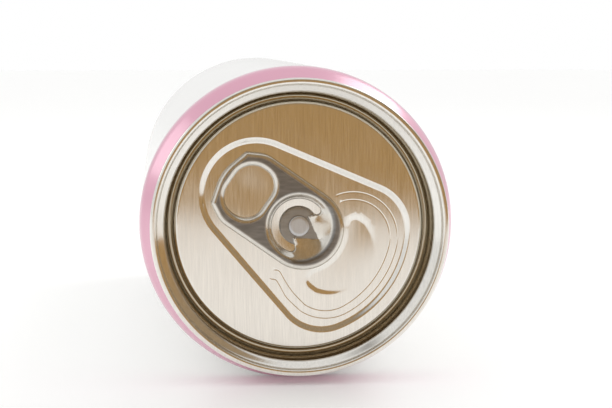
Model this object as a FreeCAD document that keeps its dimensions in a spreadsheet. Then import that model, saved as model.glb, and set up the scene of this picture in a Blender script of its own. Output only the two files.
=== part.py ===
"""Sleek 330 ml soda can, shut, lying on its side.

The can's axis runs along +Y: the lid faces -Y and the stand ring faces +Y. +Z is up. The origin is under
the middle of the can, on the surface that it lies on. The can rests on a narrow flat strip along its wall.

Every sub-part is drawn in a frame of its own, in which +Y is the depth below the rim of the lid. The lid
and its tab are drawn with +X toward the mouth, and their Placement turns them about the can's axis.
"""
import FreeCAD, Part
import math
import os
import Sketcher

# name, millimetres or degrees, what it is
SIZES = [
    ("can_height", 146.0, "rim of the lid to the stand ring"),
    ("can_radius", 29.0, "outside of the wall"),
    ("flat_half_width", 4.0, "half the width of the strip that the can lies on"),
    ("flat_end_margin", 3.0, "strip's ends to the shoulder's and the taper's sharp bends"),
    ("flat_end_rise", 0.8, "rise of the strip's sloping ends by the time they reach the can's ends"),
    ("neck_radius", 26.2, "outside of the neck, under the seam"),
    ("neck_length", 0.8, "underside of the seam to the shoulder's sharp bend"),
    ("neck_round", 1.0, "bend from the neck into the shoulder"),
    ("shoulder_length", 5.2, "depth taken by the shoulder's cone, between its sharp bends"),
    ("shoulder_round", 5.0, "bend from the shoulder into the wall"),
    ("taper_length", 4.0, "depth taken by the taper, from its sharp bend to the stand ring"),
    ("taper_round", 5.0, "bend from the wall into the taper"),
    ("ring_radius", 22.7, "middle of the stand ring"),
    ("ring_half_width", 1.0, "half the width of the stand ring"),
    ("ring_round", 0.9, "rounds of the stand ring"),
    ("ring_height", 3.0, "height of the upright wall inside the stand ring"),
    ("dome_depth", 9.5, "stand ring to the top of the dome"),
    ("dome_roundness", 2.6, "radius of the dome's bend, as a multiple of half the ring's bore"),
    ("seam_overhang", 0.8, "outside of the seam, past the neck"),
    ("seam_height", 2.5, "rim to the underside of the seam"),
    ("seam_width", 1.25, "thickness of the seam"),
    ("crest_round", 0.55, "rounds of the rim"),
    ("hook_round", 0.3, "round under the seam"),
    ("plug_floor", 0.6, "bottom of the countersink to the underside of the lid"),
    ("plug_inset", 0.6, "outside of the neck to the side of the lid's plug"),
    ("plug_gap", 0.1, "room between the lid's plug and the inside of the neck"),
    ("chuck_slope", 1.7, "how far the chuck wall leans in from the rim to the countersink"),
    ("countersink_drop", 2.1, "panel to the bottom of the countersink"),
    ("countersink_width", 1.2, "width of the countersink"),
    ("countersink_round", 0.45, "rounds of the countersink"),
    ("panel_depth", 4.3, "rim to the panel"),
    ("panel_round", 0.5, "round at the panel's edge"),
    ("mouth_turn", 36.5, "turn of the mouth about the can's axis"),
    ("deboss_depth", 0.45, "depth of the tear-shaped recess in the panel"),
    ("deboss_margin", 2.7, "panel's edge to the front of the recess"),
    ("deboss_corner", 8.3, "radius of the recess's corners"),
    ("deboss_corner_angle", 32.0, "direction of the corners' centres from the middle of the lid"),
    ("deboss_tail", 9.7, "middle of the lid to the centre of the recess's narrow end"),
    ("tail_margin", 0.55, "how much nearer to the middle the narrow end stops than the front does"),
    ("score_depth", 0.12, "depth of the score lines"),
    ("score_width", 0.3, "width of the score lines"),
    ("score_margin", 1.7, "front of the recess to the front of the outer score"),
    ("score_spacing", 1.35, "outer score to the inner one"),
    ("score_corner", 8.2, "radius of the outer score's corners"),
    ("score_corner_angle", 24.0, "direction of the corners' centres from the middle of the lid"),
    ("score_start", 2.5, "middle of the lid to the ends of the scores, along the mouth"),
    ("shank_radius", 1.5, "shank of the rivet"),
    ("shank_root", 0.3, "how far the shank reaches into the panel"),
    ("head_radius", 1.87, "head of the rivet"),
    ("head_height", 0.75, "height of the rivet's head"),
    ("head_round", 0.4, "round of the rivet's head"),
    ("tab_turn", 35.0, "turn of the tab about the can's axis"),
    ("tab_thickness", 1.2, "thickness of the tab's hem"),
    ("tab_half_width", 7.5, "half the width of the tab"),
    ("tab_nose", 8.35, "rivet to the tip of the nose"),
    ("nose_flat", 0.1, "half the straight stretch at the tip of the nose"),
    ("tab_side", 12.3, "rivet to where the sides bend in"),
    ("side_round", 5.0, "bend of the sides"),
    ("heel_reach", 15.9, "rivet to the corners of the heel"),
    ("heel_half_width", 5.7, "half the width of the heel, between its corners"),
    ("heel_corner", 0.8, "radius of the heel's corners"),
    ("heel_bow", 1.4, "how far the heel bows out past its corners"),
    ("heel_bow_round", 9.0, "bend at the middle of the heel"),
    ("hem_round", 0.4, "round along the top of the hem"),
    ("hole_near", 7.3, "rivet to the near edge of the finger hole"),
    ("hole_far", 14.9, "rivet to the far edge of the finger hole"),
    ("hole_half_width", 4.9, "half the width of the finger hole"),
    ("hole_near_round", 2.0, "corners of the finger hole toward the rivet"),
    ("hole_far_round", 3.7, "corners of the finger hole toward the heel"),
    ("bowl_radius", 5.6, "bowl round the rivet"),
    ("web_thickness", 0.35, "floor of the bowl"),
    ("island_radius", 3.5, "rivet island, which is the inside of the curved slot"),
    ("island_thickness", 0.55, "rivet island, between the recess and the rivet's head"),
    ("slot_width", 1.5, "width of the curved slot"),
    ("slot_opening", 67.0, "angle from the nose to the ends of the slot"),
    ("rivet_gap", 0.1, "room between the shank and the island"),
]


class Term:
    """A number together with the expression that gives it from the sheet."""

    def __init__(self, value, text):
        self.value = value
        self.text = text

    def __add__(self, other):
        other = as_term(other)
        return Term(self.value + other.value, f"({self.text} + {other.text})")

    def __sub__(self, other):
        other = as_term(other)
        return Term(self.value - other.value, f"({self.text} - {other.text})")

    def __mul__(self, other):
        other = as_term(other)
        return Term(self.value * other.value, f"({self.text} * {other.text})")

    def __truediv__(self, other):
        other = as_term(other)
        return Term(self.value / other.value, f"({self.text} / {other.text})")

    def __neg__(self):
        return Term(-self.value, f"(-{self.text})")


def as_term(number):
    return number if isinstance(number, Term) else Term(float(number), repr(float(number)))


def square_root(term):
    return Term(math.sqrt(term.value), f"sqrt({term.text})")


def cosine(degrees):
    return Term(math.cos(math.radians(degrees.value)), f"cos({degrees.text} * 1 deg)")


class Sizes:
    """The sheet's cells, each as a Term named by its alias."""


def make_sheet(doc):
    sheet = doc.addObject("Spreadsheet::Sheet", "Sizes")
    for row, (name, number, meaning) in enumerate(SIZES, start=1):
        sheet.set(f"A{row}", meaning)
        sheet.set(f"B{row}", str(number))
        sheet.setAlias(f"B{row}", name)
    doc.recompute()
    sizes = Sizes()
    for name, number, meaning in SIZES:
        setattr(sizes, name, Term(float(sheet.get(name)), f"Sizes.{name}"))
    return sizes


# ---- sketches -------------------------------------------------------------------------------------------

def make_body(doc, name):
    body = doc.addObject("PartDesign::Body", name)
    body.Label = name
    return body


def new_sketch(body, name, role, depth=None):
    """A sketch on one of the body's own planes; on XZ_Plane it may lie at a depth below the rim."""
    plane = [feature for feature in body.Origin.OriginFeatures if feature.Role == role][0]
    sketch = body.newObject("Sketcher::SketchObject", name)
    sketch.AttachmentSupport = [(plane, "")]
    sketch.MapMode = "FlatFace"
    if depth is not None:
        sketch.setExpression("AttachmentOffset.Base.z", (-depth).text)
    return sketch


def bind(sketch, constraint, term):
    """Add a dimension and bind it to the sheet."""
    index = sketch.addConstraint(constraint)
    sketch.setExpression(f"Constraints[{index}]", term.text)


def bind_across(sketch, kind, geometry, point, term):
    """Bind the distance from the sketch's origin to a point, along one of its axes."""
    if abs(term.value) < 1e-9:
        axis = -2 if kind == "DistanceX" else -1
        sketch.addConstraint(Sketcher.Constraint("PointOnObject", geometry, point, axis))
    elif term.value > 0:
        bind(sketch, Sketcher.Constraint(kind, -1, 1, geometry, point, term.value), term)
    else:
        bind(sketch, Sketcher.Constraint(kind, geometry, point, -1, 1, -term.value), -term)


def bind_point(sketch, geometry, point, x, y):
    bind_across(sketch, "DistanceX", geometry, point, x)
    bind_across(sketch, "DistanceY", geometry, point, y)


def vector(x, y):
    return FreeCAD.Vector(x, y, 0)


def add_line(sketch, start, end):
    return sketch.addGeometry(Part.LineSegment(start, end), False)


def add_arc(sketch, centre, radius, start, end):
    """An arc that runs counter-clockwise between two directions, given as points."""
    first = math.atan2(start.y - centre.y, start.x - centre.x)
    last = math.atan2(end.y - centre.y, end.x - centre.x)
    if last <= first:
        last += 2 * math.pi
    circle = Part.Circle(centre, FreeCAD.Vector(0, 0, 1), radius)
    return sketch.addGeometry(Part.ArcOfCircle(circle, first, last), False)


def rounded_outline(sketch, corners):
    """A closed outline of straight edges; each corner is x, y and the radius that rounds it, or None."""
    places = [vector(as_term(x).value, as_term(y).value) for x, y, radius in corners]
    count = len(corners)
    cuts = []
    turns = []
    for index in range(count):
        before = (places[index] - places[index - 1]).normalize()
        after = (places[(index + 1) % count] - places[index]).normalize()
        turn = math.atan2(before.x * after.y - before.y * after.x, before.dot(after))
        radius = corners[index][2]
        turns.append(turn)
        cuts.append(0.0 if radius is None else radius.value * math.tan(abs(turn) / 2))

    lines = []
    for index in range(count):
        start = places[index]
        end = places[(index + 1) % count]
        along = (end - start).normalize()
        lines.append(add_line(sketch, start + along * cuts[index],
                              end - along * cuts[(index + 1) % count]))

    for index, (x, y, radius) in enumerate(corners):
        before = lines[index - 1]
        after = lines[index]
        if radius is None:
            sketch.addConstraint(Sketcher.Constraint("Coincident", before, 2, after, 1))
            bind_point(sketch, after, 1, as_term(x), as_term(y))
            continue
        arrive = sketch.getPoint(before, 2)
        leave = sketch.getPoint(after, 1)
        inward = (leave - places[index]).normalize() + (arrive - places[index]).normalize()
        reach = radius.value / math.cos(turns[index] / 2)
        centre = places[index] + inward.normalize() * reach
        forward = turns[index] > 0
        arc = add_arc(sketch, centre, radius.value, *((arrive, leave) if forward else (leave, arrive)))
        sketch.addConstraint(Sketcher.Constraint("Tangent", before, 2, arc, 1 if forward else 2))
        sketch.addConstraint(Sketcher.Constraint("Tangent", arc, 2 if forward else 1, after, 1))
        bind(sketch, Sketcher.Constraint("Radius", arc, radius.value), radius)
        corner = sketch.addGeometry(Part.Point(places[index]), True)
        bind_point(sketch, corner, 1, as_term(x), as_term(y))
        sketch.addConstraint(Sketcher.Constraint("PointOnObject", corner, 1, before))
        sketch.addConstraint(Sketcher.Constraint("PointOnObject", corner, 1, after))


def corner_centre(front, corner, angle, side):
    """Centre of a corner arc that touches the front arc from inside, as a point and its reach as a Term."""
    reach = (front - corner) * cosine(angle)
    rise = math.sqrt((front.value - corner.value) ** 2 - reach.value ** 2)
    return vector(reach.value, side * rise), reach


def add_front(sketch, front, corner, angle, lower, upper):
    """Corner, front and corner of the mouth as tangent arcs, from the lower end round to the upper.

    The front is centred on the lid. lower and upper are where the outline leaves the corners.
    """
    arcs = []
    for side in (-1, 1):
        centre, reach = corner_centre(front, corner, angle, side)
        touch = centre * (front.value / (front.value - corner.value))
        ends = (lower, touch) if side < 0 else (touch, upper)
        arcs.append(add_arc(sketch, centre, corner.value, *ends))
    lower_arc, upper_arc = arcs
    front_arc = add_arc(sketch, vector(0, 0), front.value,
                        sketch.getPoint(lower_arc, 2), sketch.getPoint(upper_arc, 1))
    sketch.addConstraint(Sketcher.Constraint("Coincident", front_arc, 3, -1, 1))
    bind(sketch, Sketcher.Constraint("Radius", front_arc, front.value), front)
    for arc in arcs:
        bind(sketch, Sketcher.Constraint("Radius", arc, corner.value), corner)
        bind_across(sketch, "DistanceX", arc, 3, reach)
    sketch.addConstraint(Sketcher.Constraint("Tangent", lower_arc, 2, front_arc, 1))
    sketch.addConstraint(Sketcher.Constraint("Tangent", front_arc, 2, upper_arc, 1))
    return lower_arc, upper_arc


def tear_outline(sketch, front, corner, angle, tail, tail_round):
    """The recess: the mouth's front and corners, with straight sides that close round a narrow end."""
    tail_centre = vector(-tail.value, 0)
    centre, reach = corner_centre(front, corner, angle, 1)
    across = centre - tail_centre
    lean = math.atan2(across.y, across.x) + math.acos((tail_round.value - corner.value) / across.Length)
    normal = vector(math.cos(lean), math.sin(lean))
    mirrored = vector(normal.x, -normal.y)
    lower_centre = vector(centre.x, -centre.y)
    upper = centre + normal * corner.value
    lower = lower_centre + mirrored * corner.value
    lower_arc, upper_arc = add_front(sketch, front, corner, angle, lower, upper)
    tail_top = tail_centre + normal * tail_round.value
    tail_bottom = tail_centre + mirrored * tail_round.value
    tail_arc = add_arc(sketch, tail_centre, tail_round.value, tail_top, tail_bottom)
    bind(sketch, Sketcher.Constraint("Radius", tail_arc, tail_round.value), tail_round)
    bind_point(sketch, tail_arc, 3, -tail, as_term(0))
    upper_side = add_line(sketch, upper, tail_top)
    lower_side = add_line(sketch, tail_bottom, lower)
    sketch.addConstraint(Sketcher.Constraint("Tangent", upper_arc, 2, upper_side, 1))
    sketch.addConstraint(Sketcher.Constraint("Tangent", upper_side, 2, tail_arc, 1))
    sketch.addConstraint(Sketcher.Constraint("Tangent", tail_arc, 2, lower_side, 1))
    sketch.addConstraint(Sketcher.Constraint("Tangent", lower_side, 2, lower_arc, 1))


def score_outline(sketch, front, corner, angle, start, width):
    """A band that follows the front and the corners of the mouth, closed by a short cap at each end."""
    chains = []
    for shift in (width / 2, -width / 2):
        radius = corner + shift
        centre, reach = corner_centre(front + shift, radius, angle, 1)
        rise = centre.y + math.sqrt(radius.value ** 2 - (start.value - reach.value) ** 2)
        ends = vector(start.value, -rise), vector(start.value, rise)
        chains.append(add_front(sketch, front + shift, radius, angle, *ends))
    outer, inner = chains
    for place, (outer_arc, inner_arc) in zip((1, 2), zip(outer, inner)):
        cap = add_line(sketch, sketch.getPoint(outer_arc, place), sketch.getPoint(inner_arc, place))
        sketch.addConstraint(Sketcher.Constraint("Coincident", outer_arc, place, cap, 1))
        sketch.addConstraint(Sketcher.Constraint("Coincident", inner_arc, place, cap, 2))
        sketch.addConstraint(Sketcher.Constraint("Vertical", cap))
        bind_across(sketch, "DistanceX", cap, 1, start)


def slot_outline(sketch, inner, width, opening):
    """A round-ended slot along a circle; it is open toward +X by the given angle each way."""
    outer = inner + width
    middle = inner + width / 2
    half_turn = math.radians(opening.value)
    upward = vector(math.cos(half_turn), math.sin(half_turn))
    downward = vector(upward.x, -upward.y)
    outer_arc = add_arc(sketch, vector(0, 0), outer.value, upward * outer.value, downward * outer.value)
    inner_arc = add_arc(sketch, vector(0, 0), inner.value, upward * inner.value, downward * inner.value)
    for arc, radius in ((outer_arc, outer), (inner_arc, inner)):
        sketch.addConstraint(Sketcher.Constraint("Coincident", arc, 3, -1, 1))
        bind(sketch, Sketcher.Constraint("Radius", arc, radius.value), radius)
    upper_end = add_arc(sketch, upward * middle.value, width.value / 2,
                        upward * inner.value, upward * outer.value)
    lower_end = add_arc(sketch, downward * middle.value, width.value / 2,
                        downward * outer.value, downward * inner.value)
    sketch.addConstraint(Sketcher.Constraint("Tangent", inner_arc, 1, upper_end, 1))
    sketch.addConstraint(Sketcher.Constraint("Tangent", upper_end, 2, outer_arc, 1))
    sketch.addConstraint(Sketcher.Constraint("Tangent", outer_arc, 2, lower_end, 1))
    sketch.addConstraint(Sketcher.Constraint("Tangent", lower_end, 2, inner_arc, 2))
    for end in (upper_end, lower_end):
        bind_across(sketch, "DistanceX", end, 3, middle * cosine(opening))


def circle_outline(sketch, radius):
    circle = sketch.addGeometry(Part.Circle(vector(0, 0), FreeCAD.Vector(0, 0, 1), radius.value), False)
    sketch.addConstraint(Sketcher.Constraint("Coincident", circle, 3, -1, 1))
    bind(sketch, Sketcher.Constraint("Radius", circle, radius.value), radius)


# ---- features -------------------------------------------------------------------------------------------

def turned(body, name, corners):
    """A solid turned about the can's axis, from corners given as radius, depth and round."""
    sketch = new_sketch(body, name + "Profile", "XY_Plane")
    rounded_outline(sketch, corners)
    feature = body.newObject("PartDesign::Revolution", name)
    feature.Profile = sketch
    feature.ReferenceAxis = (sketch, ["V_Axis"])
    feature.Angle = 360.0
    return feature


def pad(body, name, sketch, length):
    """Material from the sketch down into the can."""
    feature = body.newObject("PartDesign::Pad", name)
    feature.Profile = sketch
    feature.Reversed = True
    feature.setExpression("Length", length.text)
    return feature


def pocket(body, name, sketch, length=None):
    """A cut from the sketch down into the can, to a length or right through."""
    feature = body.newObject("PartDesign::Pocket", name)
    feature.Profile = sketch
    if length is None:
        feature.Type = "ThroughAll"
    else:
        feature.setExpression("Length", length.text)
    return feature


def lay_down(body, sizes, turn):
    """Turn a body about the can's axis and lift the axis, so that the can lies on its flat strip."""
    lift = square_root(sizes.can_radius * sizes.can_radius - sizes.flat_half_width * sizes.flat_half_width)
    body.Placement = FreeCAD.Placement(FreeCAD.Vector(0, -sizes.can_height.value / 2, lift.value),
                                       FreeCAD.Rotation(FreeCAD.Vector(0, 1, 0), turn.value))
    body.setExpression("Placement.Base.y", (-sizes.can_height / 2).text)
    body.setExpression("Placement.Base.z", lift.text)
    body.setExpression("Placement.Rotation.Angle", turn.text)


# ---- sub-parts ------------------------------------------------------------------------------------------

def seam_sizes(sizes):
    """Radii and depths that the lid and the body share."""
    plug_radius = sizes.neck_radius - sizes.plug_inset
    plug_depth = sizes.panel_depth + sizes.countersink_drop + sizes.plug_floor
    return plug_radius, plug_depth


def make_can_body(doc, sizes):
    """Neck, shoulder, wall, taper, stand ring and dome, with a seat for the lid and a flat strip below."""
    body = make_body(doc, "can_body")
    plug_radius, plug_depth = seam_sizes(sizes)
    bore = plug_radius + sizes.plug_gap
    shoulder_top = sizes.seam_height + sizes.neck_length
    ring_inner = sizes.ring_radius - sizes.ring_half_width
    dome_bend = ring_inner / 2
    dome_top = sizes.can_height - sizes.dome_depth
    turned(body, "Shell", [
        (0, plug_depth, None),
        (bore, plug_depth, None),
        (bore, sizes.seam_height, None),
        (sizes.neck_radius, sizes.seam_height, None),
        (sizes.neck_radius, shoulder_top, sizes.neck_round),
        (sizes.can_radius, shoulder_top + sizes.shoulder_length, sizes.shoulder_round),
        (sizes.can_radius, sizes.can_height - sizes.taper_length, sizes.taper_round),
        (sizes.ring_radius + sizes.ring_half_width, sizes.can_height, sizes.ring_round),
        (ring_inner, sizes.can_height, sizes.ring_round),
        (ring_inner, sizes.can_height - sizes.ring_height, None),
        (dome_bend, dome_top, dome_bend * sizes.dome_roundness),
        (0, dome_top, None),
    ])
    flat = square_root(sizes.can_radius * sizes.can_radius - sizes.flat_half_width * sizes.flat_half_width)
    below = -(sizes.can_radius * 2)
    raised = sizes.flat_end_rise - flat
    underside = new_sketch(body, "FlatOutline", "YZ_Plane")
    rounded_outline(underside, [
        (0, below, None),
        (sizes.can_height, below, None),
        (sizes.can_height, raised, None),
        (sizes.can_height - sizes.taper_length - sizes.flat_end_margin, -flat, None),
        (shoulder_top + sizes.shoulder_length + sizes.flat_end_margin, -flat, None),
        (0, raised, None),
    ])
    pocket(body, "Flat", underside).Midplane = True
    lay_down(body, sizes, as_term(0))
    return body


def make_can_end(doc, sizes):
    """The lid: seam, chuck wall, countersink and panel, with its recess, its score lines and its rivet."""
    body = make_body(doc, "can_end")
    plug_radius, plug_depth = seam_sizes(sizes)
    seam_radius = sizes.neck_radius + sizes.seam_overhang
    crest_inner = seam_radius - sizes.seam_width
    countersink_outer = crest_inner - sizes.chuck_slope
    countersink_depth = sizes.panel_depth + sizes.countersink_drop
    panel_radius = countersink_outer - sizes.countersink_width
    turned(body, "Dish", [
        (0, plug_depth, None),
        (0, sizes.panel_depth, None),
        (panel_radius, sizes.panel_depth, sizes.panel_round),
        (panel_radius, countersink_depth, sizes.countersink_round),
        (countersink_outer, countersink_depth, sizes.countersink_round),
        (crest_inner, 0, sizes.crest_round),
        (seam_radius, 0, sizes.crest_round),
        (seam_radius, sizes.seam_height, sizes.hook_round),
        (plug_radius, sizes.seam_height, None),
        (plug_radius, plug_depth, None),
    ])
    deboss_front = panel_radius - sizes.deboss_margin
    recess = new_sketch(body, "RecessOutline", "XZ_Plane", sizes.panel_depth)
    tear_outline(recess, deboss_front, sizes.deboss_corner, sizes.deboss_corner_angle, sizes.deboss_tail,
                 deboss_front - sizes.tail_margin - sizes.deboss_tail)
    pocket(body, "Recess", recess, sizes.deboss_depth)
    recess_floor = sizes.panel_depth + sizes.deboss_depth
    for name, inset in (("OuterScore", as_term(0)), ("InnerScore", sizes.score_spacing)):
        outline = new_sketch(body, name + "Outline", "XZ_Plane", recess_floor)
        score_outline(outline, deboss_front - sizes.score_margin - inset, sizes.score_corner - inset,
                      sizes.score_corner_angle, sizes.score_start + inset, sizes.score_width)
        pocket(body, name, outline, sizes.score_depth)
    head_under = recess_floor - sizes.island_thickness
    head_top = head_under - sizes.head_height
    turned(body, "Rivet", [
        (0, recess_floor + sizes.shank_root, None),
        (0, head_top, None),
        (sizes.head_radius, head_top, sizes.head_round),
        (sizes.head_radius, head_under, None),
        (sizes.shank_radius, head_under, None),
        (sizes.shank_radius, recess_floor + sizes.shank_root, None),
    ])
    lay_down(body, sizes, sizes.mouth_turn)
    return body


def make_pull_tab(doc, sizes):
    """The tab: a hemmed plate with a finger hole, a bowl with a curved slot and the island for the rivet."""
    body = make_body(doc, "pull_tab")
    tab_top = sizes.panel_depth - sizes.tab_thickness
    bowl_floor = sizes.panel_depth - sizes.web_thickness
    recess_floor = sizes.panel_depth + sizes.deboss_depth
    half_width = sizes.tab_half_width
    nose_round = half_width - sizes.nose_flat
    outline = new_sketch(body, "PlateOutline", "XZ_Plane", tab_top)
    rounded_outline(outline, [
        (sizes.tab_nose, -half_width, nose_round),
        (sizes.tab_nose, half_width, nose_round),
        (-sizes.tab_side, half_width, sizes.side_round),
        (-sizes.heel_reach, sizes.heel_half_width, sizes.heel_corner),
        (-sizes.heel_reach - sizes.heel_bow, 0, sizes.heel_bow_round),
        (-sizes.heel_reach, -sizes.heel_half_width, sizes.heel_corner),
        (-sizes.tab_side, -half_width, sizes.side_round),
    ])
    plate = pad(body, "Plate", outline, sizes.tab_thickness)
    doc.recompute()
    hem = body.newObject("PartDesign::Fillet", "Hem")
    hem.Base = (plate, [f"Edge{number}" for number, edge in enumerate(plate.Shape.Edges, start=1)
                        if all(abs(vertex.Y - tab_top.value) < 1e-6 for vertex in edge.Vertexes)])
    hem.setExpression("Radius", sizes.hem_round.text)

    hole = new_sketch(body, "FingerHoleOutline", "XZ_Plane", tab_top)
    rounded_outline(hole, [
        (-sizes.hole_near, -sizes.hole_half_width, sizes.hole_near_round),
        (-sizes.hole_near, sizes.hole_half_width, sizes.hole_near_round),
        (-sizes.hole_far, sizes.hole_half_width, sizes.hole_far_round),
        (-sizes.hole_far, -sizes.hole_half_width, sizes.hole_far_round),
    ])
    pocket(body, "FingerHole", hole)

    bowl = new_sketch(body, "BowlOutline", "XZ_Plane", tab_top)
    circle_outline(bowl, sizes.bowl_radius)
    pocket(body, "Bowl", bowl, bowl_floor - tab_top)

    island = new_sketch(body, "IslandOutline", "XZ_Plane", bowl_floor)
    circle_outline(island, sizes.island_radius)
    pad(body, "Island", island, recess_floor - bowl_floor)

    dip = new_sketch(body, "DipOutline", "XZ_Plane", bowl_floor)
    circle_outline(dip, sizes.head_radius + sizes.rivet_gap)
    pocket(body, "Dip", dip, recess_floor - sizes.island_thickness - bowl_floor)

    slot = new_sketch(body, "SlotOutline", "XZ_Plane", bowl_floor)
    slot_outline(slot, sizes.island_radius, sizes.slot_width, sizes.slot_opening)
    pocket(body, "Slot", slot)

    shank = new_sketch(body, "ShankHoleOutline", "XZ_Plane", bowl_floor)
    circle_outline(shank, sizes.shank_radius + sizes.rivet_gap)
    pocket(body, "ShankHole", shank)
    lay_down(body, sizes, sizes.tab_turn)
    return body


def check_document(doc, bodies):
    """Stop if anything failed to recompute, or if a sub-part has no valid shape."""
    for item in doc.Objects:
        faults = [state for state in item.State if state in ("Invalid", "Error")]
        if faults:
            raise RuntimeError(f"{item.Name}: {faults}")
    for body in bodies:
        if body.Shape.isNull() or not body.Shape.isValid() or len(body.Shape.Solids) != 1:
            raise RuntimeError(f"{body.Label}: no single valid solid")


def main():
    doc = FreeCAD.newDocument("SodaCan")
    sizes = make_sheet(doc)
    bodies = [make_can_body(doc, sizes), make_can_end(doc, sizes), make_pull_tab(doc, sizes)]
    doc.recompute()
    check_document(doc, bodies)
    os.makedirs("parts", exist_ok=True)
    for body in bodies:
        body.Shape.exportStep(f"parts/{body.Label}.step")
        box = body.Shape.BoundBox
        print(f"{body.Label}: volume {body.Shape.Volume:.1f} mm3, "
              f"x {box.XMin:.2f} to {box.XMax:.2f}, y {box.YMin:.2f} to {box.YMax:.2f}, "
              f"z {box.ZMin:.2f} to {box.ZMax:.2f}")


main()
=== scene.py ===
"""Surfaces for a shut 330 ml sleek drinks can that lies on its side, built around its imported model.

The can's axis runs along +Y and the lid faces -Y. Shapes are drawn in millimetres as radius or place across
the lid, with depth below the rim, and are put into the frame in metres.
"""
import math
from types import SimpleNamespace

import bmesh
import bpy
import numpy as np
from bpy.props import FloatProperty, FloatVectorProperty, IntProperty, PointerProperty
from mathutils import Matrix, Vector
from mathutils.geometry import delaunay_2d_cdt


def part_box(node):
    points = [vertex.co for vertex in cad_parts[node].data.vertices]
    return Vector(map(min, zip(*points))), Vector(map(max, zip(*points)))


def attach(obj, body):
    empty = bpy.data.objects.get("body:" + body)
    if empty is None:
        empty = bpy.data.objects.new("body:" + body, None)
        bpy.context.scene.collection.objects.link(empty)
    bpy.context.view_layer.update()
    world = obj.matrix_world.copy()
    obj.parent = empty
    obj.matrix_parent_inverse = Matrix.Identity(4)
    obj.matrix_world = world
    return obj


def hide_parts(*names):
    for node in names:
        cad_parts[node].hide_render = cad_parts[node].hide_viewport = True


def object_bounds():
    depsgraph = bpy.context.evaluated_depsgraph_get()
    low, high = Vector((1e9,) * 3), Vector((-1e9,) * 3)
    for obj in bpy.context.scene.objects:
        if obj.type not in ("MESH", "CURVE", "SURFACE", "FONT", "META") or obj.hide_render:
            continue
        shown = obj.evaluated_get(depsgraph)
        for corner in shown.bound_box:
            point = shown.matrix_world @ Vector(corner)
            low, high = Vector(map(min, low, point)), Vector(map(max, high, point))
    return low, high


bl_info = {
    "name": "Sleek Drinks Can",
    "version": (1, 0, 0),
    "blender": (4, 5, 0),
    "location": "View3D > Sidebar > Drinks Can",
    "description": "Surfaces and studio for a shut drinks can that lies on its side",
    "category": "Mesh",
}

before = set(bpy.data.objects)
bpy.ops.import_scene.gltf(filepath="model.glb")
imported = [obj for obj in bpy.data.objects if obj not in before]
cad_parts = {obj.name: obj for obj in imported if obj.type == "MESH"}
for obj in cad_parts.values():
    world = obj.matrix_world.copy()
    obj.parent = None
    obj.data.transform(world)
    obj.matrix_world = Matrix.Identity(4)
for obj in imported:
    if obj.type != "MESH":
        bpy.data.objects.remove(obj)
CAD_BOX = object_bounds()
_, BODY_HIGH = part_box("can_body")
END_LOW, END_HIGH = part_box("can_end")
TAB_LOW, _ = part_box("pull_tab")
MM = 0.001
RIM_Y = END_LOW.y
AXIS_Z = (END_LOW.z + END_HIGH.z) / 2
CAN_HEIGHT = BODY_HIGH.y - RIM_Y
WALL_RADIUS = BODY_HIGH.z - AXIS_Z
SEAM_RADIUS = (END_HIGH.z - END_LOW.z) / 2
PLUG_DEPTH = END_HIGH.y - RIM_Y
TAB_DEPTH = TAB_LOW.y - RIM_Y


# ---- properties -----------------------------------------------------------------------------------------

def linear(code):
    """Linear red, green, blue and alpha of an sRGB hex colour."""
    parts = [int(code[start:start + 2], 16) / 255 for start in (1, 3, 5)]
    return [part / 12.92 if part <= 0.04045 else ((part + 0.055) / 1.055) ** 2.4 for part in parts] + [1.0]


def length(name, millimetres, description):
    return FloatProperty(name=name, description=description, default=millimetres * MM,
                         subtype="DISTANCE", unit="LENGTH", precision=5)


def angle(name, degrees, description):
    return FloatProperty(name=name, description=description, default=math.radians(degrees),
                         subtype="ANGLE", unit="ROTATION")


def colour(name, code, description):
    return FloatVectorProperty(name=name, description=description, default=linear(code),
                               size=4, min=0.0, max=1.0, subtype="COLOR")


class CanBodyShape(bpy.types.PropertyGroup):
    height: length("Height", CAN_HEIGHT / MM, "Rim of the lid to the stand ring")
    wall_radius: length("Wall radius", WALL_RADIUS / MM, "Outside of the wall")
    neck_radius: length("Neck radius", SEAM_RADIUS / MM - 0.8, "Outside of the neck, under the seam")
    shoulder_top: length("Shoulder top", 3.3, "Depth at which the neck bends into the shoulder")
    shoulder_end: length("Shoulder end", 8.5, "Depth at which the shoulder bends into the wall")
    taper: length("Taper", 4.0, "Depth taken by the taper above the stand ring")
    ring_radius: length("Stand ring radius", 22.7, "Middle of the stand ring")
    ring_half_width: length("Stand ring half width", 1.0, "Half the width of the stand ring")
    ring_wall: length("Stand ring wall", 3.0, "Height of the upright wall inside the stand ring")
    dome: length("Dome", 9.5, "Stand ring to the top of the dome")
    neck_round: length("Neck round", 1.0, "Bend from the neck into the shoulder")
    wall_round: length("Wall round", 5.0, "Bends at both ends of the wall")
    ring_round: length("Stand ring round", 0.9, "Rounds of the stand ring")
    hidden_step: length("Hidden step", 0.5, "Neck to the hidden wall behind the seam")
    dome_skirt: length("Dome skirt", 0.6, "Stretch of upright wall that the dome's edge bends over")
    field_end: length("Pink field's end", 10.0, "Rim to the edge of the pink field")
    # Width of the painted shade along the end of the pink field.
    painted_edge_shade_width: length("Pink edge's width", 0.35, "Width of the thin line round the pink field")
    bare_band: length("Bare band", 3.0, "Height of the bare metal above the stand ring")
    segments: IntProperty(name="Segments", description="Facets round the can", default=320, min=32)


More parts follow.
